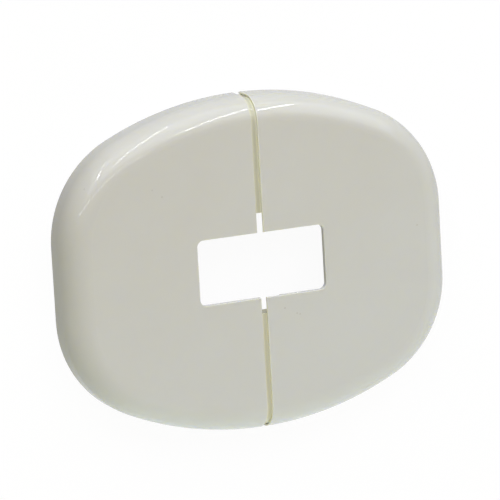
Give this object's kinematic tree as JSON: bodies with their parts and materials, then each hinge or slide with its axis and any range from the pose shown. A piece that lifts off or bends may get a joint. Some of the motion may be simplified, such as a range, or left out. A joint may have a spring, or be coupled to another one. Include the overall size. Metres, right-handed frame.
{
  "type": "pipe rosette",
  "caption": "Split oval cover rosette with a rolled rim and a rectangular opening; its half shells plug together round a pipe or post and hide the hole in the wall or floor.",
  "frame": {"origin": "middle of the opening, on the plane of the back rim that meets the wall or floor", "axes": "+Z out of the wall along the pipe or post, +X along the plate's long side from the left half to the right half, +Y along its short side and along the seam"},
  "size_m": [0.128, 0.105, 0.0134],
  "materials": {
    "white_plastic": "glossy moulded off-white plastic"
  },
  "bodies": {
    "left_half": {"left_half": "white_plastic"},
    "right_half": {"right_half": "white_plastic"}
  },
  "joints": [
    {"name": "halves_pull_apart", "type": "slide", "parent": "left_half", "child": "right_half", "axis": [1, 0, 0], "range_m": [0, 0.025]}
  ]
}
